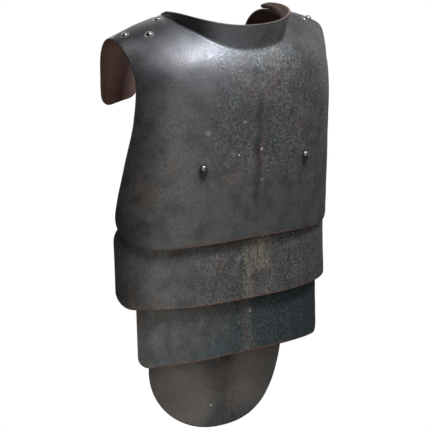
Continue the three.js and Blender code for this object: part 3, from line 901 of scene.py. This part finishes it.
# %% A small board for building materials
class Board:
    """A material's nodes, with short calls for the few kinds that these finishes need."""

    def __init__(self, name):
        self.material = bpy.data.materials.new(name)
        self.material.use_nodes = True
        self.tree = self.material.node_tree
        self.tree.nodes.clear()
        self.place = self.node("ShaderNodeTexCoord").outputs["Object"]

    def put(self, socket, value):
        """Links a socket, or sets a number or colour."""
        if isinstance(value, bpy.types.NodeSocket):
            self.tree.links.new(value, socket)
        elif isinstance(value, tuple) and socket.type == "RGBA":
            socket.default_value = (*value, 1)
        else:
            socket.default_value = value

    def node(self, kind, inputs=None, **settings):
        """A node of a kind, with its settings and what goes into it."""
        made = self.tree.nodes.new(kind)
        for key, value in settings.items():
            setattr(made, key, value)
        for key, value in (inputs or {}).items():
            self.put(made.inputs[key], value)
        return made

    def math(self, operation, a, b=0.0):
        """One Math node."""
        return self.node("ShaderNodeMath", {0: a, 1: b}, operation=operation).outputs[0]

    def plus(self, *values):
        """The sum of all values."""
        total = values[0]
        for value in values[1:]:
            total = self.math("ADD", total, value)
        return total

    def minus(self, value, less):
        """value - less."""
        return self.math("SUBTRACT", value, less)

    def times(self, *values):
        """The product of all values."""
        product = values[0]
        for value in values[1:]:
            product = self.math("MULTIPLY", product, value)
        return product

    def window(self, value, low, high, most=1.0):
        """0 up to low, `most` from high on, smooth in between; low above high turns it round."""
        ends = {"From Min": low, "From Max": high, "To Max": most}
        if low > high:
            ends = {"From Min": high, "From Max": low, "To Min": most, "To Max": 0.0}
        made = self.node("ShaderNodeMapRange", ends, interpolation_type="SMOOTHSTEP")
        self.put(made.inputs["Value"], value)
        return made.outputs["Result"]

    def noise(self, scale, detail=3.0, roughness=0.6, stretch=(1, 1, 1), offset=0.0):
        """Noise with `scale` grains to a metre, drawn out where stretch is below 1."""
        mapping = self.node(
            "ShaderNodeMapping",
            {"Vector": self.place, "Scale": stretch, "Location": (offset, offset, offset)},
        )
        inputs = {
            "Vector": mapping.outputs[0], "Scale": scale, "Detail": detail, "Roughness": roughness
        }
        return self.node("ShaderNodeTexNoise", inputs).outputs[0]

    def blend(self, share, under, over):
        """The colour `over` laid on `under` by a share from 0 to 1."""
        made = self.node("ShaderNodeMix", data_type="RGBA")
        sockets = (made.inputs[0], made.inputs[6], made.inputs[7])
        for socket, value in zip(sockets, (share, under, over)):
            self.put(socket, value)
        return made.outputs[2]

    def mark(self, name):
        """A number that the mesh carries at each point."""
        return self.node("ShaderNodeAttribute", attribute_name=name).outputs["Fac"]

    def flat(self):
        """(out, up) in metres, the place on the flat steel."""
        layer = self.node("ShaderNodeUVMap", uv_map="flat").outputs[0]
        parts = self.node("ShaderNodeSeparateXYZ", {0: layer})
        return parts.outputs[0], parts.outputs[1]

    def finish(self, color, roughness, metallic, height, bump):
        """Joins colour, roughness, metal and bump on one Principled shader."""
        dent = self.node("ShaderNodeBump", {"Height": height, "Distance": bump, "Strength": 1.0})
        inputs = {
            "Base Color": color, "Roughness": roughness, "Metallic": metallic,
            "Normal": dent.outputs[0],
        }
        principled = self.node("ShaderNodeBsdfPrincipled", inputs)
        output = self.node("ShaderNodeOutputMaterial")
        self.tree.links.new(principled.outputs[0], output.inputs["Surface"])
        return self.material

# %% [markdown]
# ## Where each sheet has aged, and where shade is painted
# The sheets hung together but aged apart: the breast was cleaned on one side, the second plate
# kept its blue-green coat, and water ran down the middle of all of them. A table of a few marks
# for each sheet says this in lengths on the flat steel, so that a mark bends with its sheet. Some of
# its marks are painted shade and shadow, and one is a painted highlight colour.

# %% Table: signs of age, and painted shade
# All lengths are metres on the flat steel.
# teal, brown: shares of blue-green and brown
# speckle: strength of the pale specks
# zone: the busy part, as (out from, out to, up from, up to)
# streaks: marks that run down, and wide dark bands at the tops of two plates that are painted
# shadow, each (out, half width, up from, up to, colour, share)
# spots: round marks, among them painted shade and a painted highlight colour,
# each (out, up, radius, colour, share)
PAINTS = {
    "breastplate": dict(
        teal=0.2, brown=0.35, speckle=1.0, zone=(-0.085, 0.26, 0.12, 0.36),
        streaks=(
            (0.000, 0.012, 0.06, 0.26, DARK, 0.9), (0.008, 0.003, 0.12, 0.235, RUST, 0.35),
            (-0.001, 0.006, 0.09, 0.20, DARK, 0.9),
            # a rust run and painted shadow: the two dark runs at out 0.102 and -0.102, on this line
            # and the next, hang under the belly rivets' heads
            (0.062, 0.010, 0.03, 0.15, DARK, 0.4), (0.102, 0.008, 0.112, 0.150, DARK, 1.0),
            (-0.102, 0.008, 0.112, 0.150, DARK, 1.0), (0.002, 0.032, 0.27, 0.33, TEAL, 0.5),
            (-0.055, 0.02, 0.30, 0.345, TEAL, 0.7), (-0.06, 0.012, 0.06, 0.14, BROWN, 0.5),
        ),
        spots=(
            (-0.030, 0.213, 0.004, PALE, 0.45), (-0.095, 0.201, 0.006, PINK, 0.5),
            (-0.039, 0.161, 0.0016, WHITE, 0.9), (0.005, 0.166, 0.0036, PALE, 0.7),
            (-0.050, 0.163, 0.005, PINK, 0.4), (0.008, 0.115, 0.003, PALE, 0.4),
            # painted highlight colour: this blue-grey spot lies where the key's highlight falls
            (-0.10, 0.35, 0.13, HIGHLIGHT_BLUE, 0.45),
            # painted shade: the large dark spot at out -0.190, up 0.425 darkens the near shoulder
            (-0.190, 0.425, 0.095, DARK, 0.6), (-0.19, 0.30, 0.06, DARK, 0.2),
            # a rust run and painted shadow: these dark spots lie just under the belly rivets' heads
            (0.102, 0.137, 0.012, DARK, 0.9), (-0.102, 0.137, 0.012, DARK, 0.9),
            (0.102, 0.129, 0.008, DARK, 0.8), (-0.102, 0.129, 0.008, DARK, 0.8),
        ),
    ),
    "upper_lame": dict(
        teal=0.2, brown=0.35, speckle=1.2, zone=(-0.10, 0.26, -0.13, 0.03),
        streaks=(
            (0.024, 0.028, -0.07, 0.02, KHAKI, 0.6), (-0.006, 0.011, -0.12, 0.0, KHAKI, 0.6),
            (0.004, 0.005, -0.12, 0.0, RUST, 0.4), (-0.215, 0.014, -0.11, -0.01, RUST, 0.4),
            # painted shadow: this wide dark band at the top of the plate, on its near half, stands in
            # for the shadow under the breastplate's lower edge
            (-0.11, 0.15, -0.035, 0.06, DARK, 0.9),
        ),
        spots=(),
    ),
    "middle_lame": dict(
        teal=0.95, brown=0.1, speckle=0.7, zone=(-0.06, 0.22, -0.13, 0.03),
        streaks=(
            (0.006, 0.017, -0.11, 0.02, KHAKI, 0.6), (0.012, 0.007, -0.05, 0.02, PALE, 0.25),
            (0.002, 0.007, -0.1, -0.02, RUST, 0.45),
        ),
        spots=((0.11, -0.05, 0.20, DEEP_TEAL, 0.75), (0.012, -0.028, 0.005, PALE, 0.4)),
    ),
    "lower_lame": dict(
        teal=0.0, brown=0.45, speckle=0.3, zone=(-0.02, 0.14, -0.16, 0.0),
        streaks=(
            (0.055, 0.007, -0.13, -0.02, KHAKI, 0.3), (0.075, 0.004, -0.12, 0.0, KHAKI, 0.25),
            (0.095, 0.006, -0.1, 0.0, BROWN, 0.6), (-0.09, 0.02, -0.14, -0.04, BROWN, 0.4),
            # painted shadow: this wide dark band at the top of the plate stands in for the shadow
            # under the middle plate's edge
            (-0.04, 0.16, -0.045, 0.06, DARK, 0.9),
        ),
        spots=(
            # pale buff patches that lighten the lowest plate
            (0.08, -0.06, 0.10, PALE_BUFF, 0.6), (-0.09, -0.09, 0.09, PALE_BUFF, 0.45),
            (-0.029, -0.107, 0.002, WHITE, 0.7),
        ),
    ),
    "shoulder_hook": dict(
        teal=0.1, brown=0.4, speckle=0.4, zone=(-0.3, 0.3, 0.4, 0.7), streaks=(), spots=()
    ),
}

# %% [markdown]
# ## Patterns of wear
# All the layers of the paint look at the same few patterns, so that a pit, the speck beside it and
# the roughness there belong together. They are noise at five sizes, from stains as large as a hand
# down to grit, and a busy zone whose ends wander with the grain.

# %% Patterns of wear
class WornSheet(Board):
    """The board of one sheet, with the patterns that the layers of its paint share."""

    def __init__(self, name, zone):
        super().__init__(name)
        self.out, self.up = self.flat()
        self.cloud = self.noise(9, 3, 0.5, offset=3.0)
        self.patchy = self.noise(34, 4, 0.65, offset=1.0)
        self.grain = self.noise(260, 4, 0.75)
        self.grit = self.noise(620, 2, 0.6, offset=7.0)
        self.runs = self.noise(60, 4, 0.65, stretch=(1, 1, 0.10), offset=5.0)
        self.dots = self.plus(self.times(self.grit, 0.55), self.times(self.grain, 0.45))
        self.rusty = self.plus(self.times(self.cloud, 0.5), self.times(self.runs, 0.5))
        self.stained = self.plus(self.times(self.patchy, 0.45), self.times(self.dots, 0.55))
        self.bare = self.window(self.mark("inside"), 0.15, 0.6)
        self.on_shoulder = self.window(self.up, 0.25, 0.30)

        shifts = self.plus(self.times(self.patchy, 0.02), self.times(self.grain, 0.014))
        self.wander = self.plus(self.out, self.minus(shifts, 0.017))
        left, right, low, high = zone
        self.busy = self.times(
            self.window(self.wander, left - 0.04, left + 0.05),
            self.window(self.wander, right, right - 0.05),
            self.window(self.up, low - 0.04, low + 0.05),
            self.window(self.up, high, high - 0.06),
        )
        fine = self.plus(self.times(self.patchy, 0.15), self.times(self.grain, 0.85))
        swing = self.plus(0.48, self.times(self.busy, 0.95))
        self.mottle = self.plus(0.5, self.times(self.minus(fine, 0.5), swing))

# %% [markdown]
# ## Coat, stains, streaks and spots
# The coat is slate with grey-green mottle. Brown and blue-green lie over it in large clouds, and
# dark stains in smaller ones. A streak is a band round one value of `out`, broken up by grain and
# by noise drawn out downwards, as rust runs are. A spot fades out with the distance from its
# middle, the root of aside ** 2 + above ** 2.

# %% Coat, stains, streaks and spots
# a streak or spot is at its full strength up to this share of its half width or radius
STREAK_CORE, SPOT_CORE = 0.2, 0.4
# and a streak fades out at both ends over this length in metres
STREAK_FADE = 0.02


def old_coat(sheet, teal, brown):
    """Slate and grey-green, with brown, blue-green and dark stains."""
    color = sheet.blend(sheet.window(sheet.mottle, 0.36, 0.64), SLATE, GREY_GREEN)
    color = sheet.blend(sheet.window(sheet.rusty, 0.44, 0.66, brown), color, BROWN)
    color = sheet.blend(sheet.window(sheet.cloud, 0.60, 0.40, teal), color, TEAL)
    return sheet.blend(sheet.window(sheet.stained, 0.485, 0.55, 0.5), color, DARK)


def streaked(sheet, color, streaks):
    """The colour with its runs and its painted shadow bands: a window beside the middle line times one
    over the height.
    """
    broken, streaky = sheet.window(sheet.dots, 0.42, 0.56), sheet.window(sheet.runs, 0.36, 0.56)
    for centre, half, foot, top, tint, share in streaks:
        beside = sheet.math("ABSOLUTE", sheet.minus(sheet.wander, centre))
        band = sheet.window(beside, half, half * STREAK_CORE, share)
        ends = sheet.times(
            sheet.window(sheet.up, foot, foot + STREAK_FADE),
            sheet.window(sheet.up, top, top - STREAK_FADE),
        )
        color = sheet.blend(sheet.times(band, ends, broken, streaky), color, tint)
    return color


def spotted(sheet, color, spots):
    """The colour with its round spots."""
    for centre, level, radius, tint, share in spots:
        aside, above = sheet.minus(sheet.out, centre), sheet.minus(sheet.up, level)
        away = sheet.math("SQRT", sheet.plus(sheet.times(aside, aside), sheet.times(above, above)))
        color = sheet.blend(sheet.window(away, radius, radius * SPOT_CORE, share), color, tint)
    return color

# %% [markdown]
# ## Specks, pits, edges and rivets
# Where the steel was scoured, pale specks, small rust spots and dark pits lie thick. The cut edges
# have lost their paint: rust below and dark steel on the shoulders, where hands and straps rubbed.
# Polish collects in a pale ring round the shoulder rivets, and a dark ring lies round the others.

# %% Specks, pits, edges and rivets
def pitted(sheet, color, specks, thick):
    """The colour with specks, rust spots and pits; thick is how dense they lie."""
    color = sheet.blend(sheet.times(specks, 0.5), color, PALE)
    rust_spots = sheet.times(
        sheet.window(sheet.grain, 0.58, 0.68), sheet.window(sheet.patchy, 0.48, 0.60)
    )
    color = sheet.blend(sheet.times(rust_spots, thick, 0.6), color, RUST)
    pits = sheet.times(sheet.window(sheet.dots, 0.45, 0.36), sheet.plus(0.25, sheet.busy))
    return sheet.blend(sheet.times(pits, 0.65), color, DARK)


def rubbed(sheet, color, rivet):
    """The colour with worn cut edges, and rings round the rivets."""
    rim = sheet.blend(sheet.on_shoulder, RUST, DARK)
    worn = sheet.times(
        sheet.window(sheet.mark("edge"), 0.0022, 0.0004), sheet.window(sheet.grain, 0.36, 0.54)
    )
    color = sheet.blend(sheet.times(worn, 0.75), color, rim)
    bright = sheet.times(sheet.window(rivet, 0.0088, 0.0068), sheet.window(sheet.grit, 0.38, 0.5))
    color = sheet.blend(sheet.times(bright, sheet.on_shoulder, 0.6), color, PALE)
    dark = sheet.times(sheet.window(rivet, 0.0080, 0.0058), 0.8)
    return sheet.blend(sheet.times(dark, sheet.minus(1.0, sheet.on_shoulder)), color, DARK)

# %% [markdown]
# ## The rusty inside
# Inside, the paint is gone, and the steel is an even red-brown with darker stains. Towards the
# ends of the hooks a paler rust is painted light, and near the neck a darker one is painted shade.

# %% The rusty inside
def rusty_inside(sheet):
    """Red-brown rust in two tones, with painted light towards the hooks' ends, painted shade near the
    neck, and brown and dark stains.
    """
    color = sheet.blend(sheet.window(sheet.mottle, 0.40, 0.6), INNER_DARK, INNER_RUST)
    color = sheet.blend(sheet.window(sheet.rusty, 0.44, 0.60, 0.6), color, BROWN)
    # painted light: the paler rust towards the hooks' ends stands in for light on the inside of the
    # near hook
    color = sheet.blend(sheet.window(sheet.up, 0.47, 0.56, 0.5), color, PAINTED_LIGHT_RUST)
    # painted shade: the inside of the hooks near the neck is darkened
    painted_shade_near_neck = sheet.times(
        sheet.window(sheet.math("ABSOLUTE", sheet.out), 0.165, 0.125),
        sheet.window(sheet.up, 0.47, 0.56, 0.85),
    )
    color = sheet.blend(painted_shade_near_neck, color, INNER_DARK)
    return sheet.blend(sheet.window(sheet.stained, 0.45, 0.60, 0.45), color, DARK)

# %% [markdown]
# ## Aged paint
# On the real sheets the paint is worn thin by a century of handling, so steel shows through it and
# tints the gloss: the shader is three quarters metal. Stains could be painted by hand, but then
# they would fit one mesh only. Here each mark is a window over the place on the flat steel, so it
# stays sharp at any size. Grit and pits also press into the face, and so does a dimple round each
# rivet.

# %% Aged paint
PAINT_METALLIC = 0.75
PAINT_BUMP = 0.0002


def paint_roughness(sheet, specks):
    """Duller in the grain, in rust and inside, and glossier on the scoured specks."""
    roughness = sheet.plus(
        0.38, sheet.times(sheet.grain, 0.2), sheet.window(sheet.rusty, 0.5, 0.64, 0.08)
    )
    return sheet.plus(sheet.minus(roughness, sheet.times(specks, 0.12)), sheet.times(sheet.bare, 0.25))


def paint_height(sheet, rivet):
    """Grit plus pits, less a dimple at the rivets."""
    pits = sheet.times(sheet.window(sheet.dots, 0.36, 0.5), 0.5)
    dimple = sheet.times(sheet.window(rivet, 0.0085, 0.0060), 0.8)
    return sheet.minus(sheet.plus(sheet.times(sheet.grit, 0.5), pits), dimple)


def aged_paint(name, teal, brown, speckle, zone, streaks, spots):
    """All the layers of the paint, from the coat up, and the rusty inside."""
    sheet = WornSheet(name, zone)
    rivet = sheet.mark("rivet")
    thick = sheet.plus(0.15, sheet.times(sheet.busy, 0.85 * speckle))
    specks = sheet.times(sheet.window(sheet.dots, 0.54, 0.66), thick)
    color = streaked(sheet, old_coat(sheet, teal, brown), streaks)
    color = pitted(sheet, spotted(sheet, color, spots), specks, thick)
    color = sheet.blend(sheet.bare, rubbed(sheet, color, rivet), rusty_inside(sheet))
    metallic = sheet.times(sheet.minus(1.0, sheet.bare), PAINT_METALLIC)
    roughness, height = paint_roughness(sheet, specks), paint_height(sheet, rivet)
    return sheet.finish(color, roughness, metallic, height, PAINT_BUMP)


for name, ages in PAINTS.items():
    aged_paint(f"{name}_paint", **ages)
print("paints:", ", ".join(PAINTS))

# %% [markdown]
# ## Rivet steel and strap leather
# The rivet heads were hammered, so their steel is patchy, dark and bright, with specks of rust, and
# their gloss is sharper than the paint's. The straps inside are dry leather that creases across its
# length. Both are small or half hidden, so two scales of noise are enough for each.

# %% Rivet steel and strap leather
RIVET_METALLIC = 0.85
RIVET_BUMP = 0.00015
LEATHER_BUMP = 0.0004


def rivet_steel():
    """Dark hammered steel with rusty hollows."""
    board = Board("hammered_steel")
    grain, patchy = board.noise(700, 3, 0.6), board.noise(160, 3, 0.6, offset=2.0)
    color = board.blend(board.window(patchy, 0.38, 0.58), HOLLOW_STEEL, BRIGHT_STEEL)
    color = board.blend(board.window(grain, 0.58, 0.70, 0.6), color, RUST)
    roughness = board.plus(0.16, board.times(patchy, 0.3))
    return board.finish(color, roughness, RIVET_METALLIC, grain, RIVET_BUMP)


def strap_leather():
    """Dry dark leather: pores, creases across the strap, and rubbed edges."""
    board = Board("dry_leather")
    pores = board.noise(900, 2, 0.6)
    creases = board.noise(140, 4, 0.7, stretch=(0.25, 1, 1), offset=4.0)
    rubbed_edge = board.window(board.mark("edge"), 0.004, 0.0005, 0.6)
    color = board.blend(board.window(creases, 0.38, 0.62), CREASED_LEATHER, DRY_LEATHER)
    color = board.blend(rubbed_edge, color, RUBBED_LEATHER)
    height = board.plus(board.times(pores, 0.3), board.times(creases, 0.7))
    roughness = board.plus(0.5, board.times(pores, 0.3))
    return board.finish(color, roughness, 0.0, height, LEATHER_BUMP)


rivet_steel()
strap_leather()

# %% [markdown]
# ## Giving out the finishes
# Each piece's name says what it is, so the first word of this table that its name holds is its
# finish.

# %% Giving out the finishes
FINISH_OF = {"rivet": "hammered_steel", "strap": "dry_leather"}
FINISH_OF.update({name: f"{name}_paint" for name in PAINTS})
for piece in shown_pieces():
    finish_name = next(finish for word, finish in FINISH_OF.items() if word in piece.name)
    piece.data.materials.append(bpy.data.materials[finish_name])
print("finishes:", len(FINISH_OF))

# %% [markdown]
# ## Floor and surroundings
# The armour is pictured free on white, hung up so that nothing touches its plates. A wide sheet of
# paper under it is white where the camera looks at it directly, and grey for the light that it
# sends back, because a bright floor would wash out the dark steel from below. The surroundings
# are made the same way: a Light Path node asks whether a ray comes from the camera.

# %% Floor and surroundings
FLOOR_HEIGHT = -1.45
FLOOR_REACH = 30.0
PAPER_GREY = (0.1, 0.1, 0.1, 1)
PAPER_ROUGHNESS = 0.9
SURROUND_STRENGTH = 0.02


def white_to_camera(tree, shader, white, output):
    """Mixes two shaders: white for rays from the camera, the other for all other rays."""
    ray, mix = tree.nodes.new("ShaderNodeLightPath"), tree.nodes.new("ShaderNodeMixShader")
    tree.links.new(ray.outputs["Is Camera Ray"], mix.inputs[0])
    tree.links.new(shader.outputs[0], mix.inputs[1])
    tree.links.new(white.outputs[0], mix.inputs[2])
    tree.links.new(mix.outputs[0], output.inputs["Surface"])


floor_mesh = bpy.data.meshes.new("floor")
corners = np.array([(-1, -1, 0), (1, -1, 0), (1, 1, 0), (-1, 1, 0)]) * FLOOR_REACH
floor_mesh.from_pydata(corners + (0, 0, FLOOR_HEIGHT), [], [(0, 1, 2, 3)])
floor = bpy.data.objects.new("floor", floor_mesh)
bpy.context.scene.collection.objects.link(floor)
paper = bpy.data.materials.new("white_paper")
paper.use_nodes = True
paper_nodes = paper.node_tree.nodes
paper_nodes["Principled BSDF"].inputs["Base Color"].default_value = PAPER_GREY
paper_nodes["Principled BSDF"].inputs["Roughness"].default_value = PAPER_ROUGHNESS
white_to_camera(
    paper.node_tree, paper_nodes["Principled BSDF"], paper_nodes.new("ShaderNodeEmission"),
    paper_nodes["Material Output"],
)
floor.data.materials.append(paper)

world = bpy.data.worlds.new("studio")
bpy.context.scene.world = world
world.use_nodes = True
world.node_tree.nodes.clear()
backgrounds = []
for strength in (SURROUND_STRENGTH, 1.0):
    background = world.node_tree.nodes.new("ShaderNodeBackground")
    background.inputs["Color"].default_value = (1, 1, 1, 1)
    background.inputs["Strength"].default_value = strength
    backgrounds.append(background)
world_output = world.node_tree.nodes.new("ShaderNodeOutputWorld")
white_to_camera(world.node_tree, *backgrounds, world_output)
bpy.context.scene.view_settings.view_transform = "Standard"
print("floor at", FLOOR_HEIGHT)

# %% [markdown]
# ## Lights
# Dark glossy steel shows its lamps more than its colour, so the light is built from softboxes.
# One small bright box high in front puts the highlight on the upper chest, wide weak ones open
# the shadows from the front and the side, and two behind light the inside and the straps.

# %% Lights
CHEST = (0.0, -0.1, -0.2)
COOL, WARM = (0.92, 0.93, 1.0), (1.0, 0.97, 0.93)
# azimuth and elevation in degrees, size in metres, watts, colour, distance in metres
LAMPS = {
    "key": (9, 57, 0.65, 127, COOL, 2.4),
    "upper_front": (32, 30, 1.0, 20, COOL, 2.4),
    "top": (-10, 76, 0.8, 6, COOL, 2.4),
    "low_front": (-26, -14, 0.6, 10, WARM, 2.4),
    "table": (12, -40, 1.2, 4, WARM, 1.6),
    "side": (105, 10, 1.4, 5, WARM, 2.4),
    "back_left": (155, 22, 1.8, 22, WARM, 2.4),
    "back_right": (-165, 12, 1.8, 18, WARM, 2.4),
}


def turned_away(azimuth, elevation):
    """Columns (level, upright, towards): a frame that looks back from a direction.

    azimuth turns from the front towards the wearer's left, and elevation rises from the level.
    """
    around, rise = np.radians([azimuth, elevation])
    level = np.array([np.cos(around), np.sin(around), 0])
    towards = np.array([
        np.sin(around) * np.cos(rise), -np.cos(around) * np.cos(rise), np.sin(rise),
    ])
    return np.stack([level, np.cross(towards, level), towards], 1)


def add_softbox(name, azimuth, elevation, size, watts, color, distance):
    """A square softbox that faces the chest from a direction."""
    data = bpy.data.lights.new(name, "AREA")
    data.shape, data.size = "SQUARE", size
    data.energy, data.color = watts, color
    columns = turned_away(azimuth, elevation)
    lamp = bpy.data.objects.new(name, data)
    lamp.matrix_world = Matrix.Translation(np.array(CHEST) + columns[:, 2] * distance) @ Matrix(
        columns.tolist()
    ).to_4x4()
    bpy.context.scene.collection.objects.link(lamp)


for name, lamp in LAMPS.items():
    add_softbox(name, *lamp)
print("lamps:", len(LAMPS))

# %% [markdown]
# ## Camera
# The view is a long lens from the wearer's right, a little above the chest. The camera looks at
# a point given from the middle of the breastplate's lower edge, so it stays put on the steel, and
# its lens comes from the focal length in pixels of the picture: pixels / frame width * sensor.

# %% Camera
AZIMUTH, ELEVATION, ROLL = -35.68, 14.61, 0.79
DISTANCE = 2.9323
FOCAL_PIXELS, FRAME_PIXELS, SENSOR = 1815.25, 432, 36.0
LOOK_FROM_EDGE = np.array([-46.0, 42.96, 31.74])

level, upright, toward = turned_away(AZIMUTH, ELEVATION).T
roll = np.radians(ROLL)
right = level * np.cos(roll) + upright * np.sin(roll)
above = upright * np.cos(roll) - level * np.sin(roll)
target = (shell(EDGE_ARCH, 0.0) + LOOK_FROM_EDGE) * METRES
camera_data = bpy.data.cameras.new("camera")
camera_data.sensor_width = SENSOR
camera_data.lens = FOCAL_PIXELS / FRAME_PIXELS * SENSOR
camera = bpy.data.objects.new("camera", camera_data)
turned = Matrix(np.stack([right, above, toward], 1).tolist()).to_4x4()
camera.matrix_world = Matrix.Translation(target + toward * DISTANCE) @ turned
bpy.context.scene.collection.objects.link(camera)
bpy.context.scene.camera = camera
print("camera at", (target + toward * DISTANCE).round(3), "lens", round(camera_data.lens, 2))
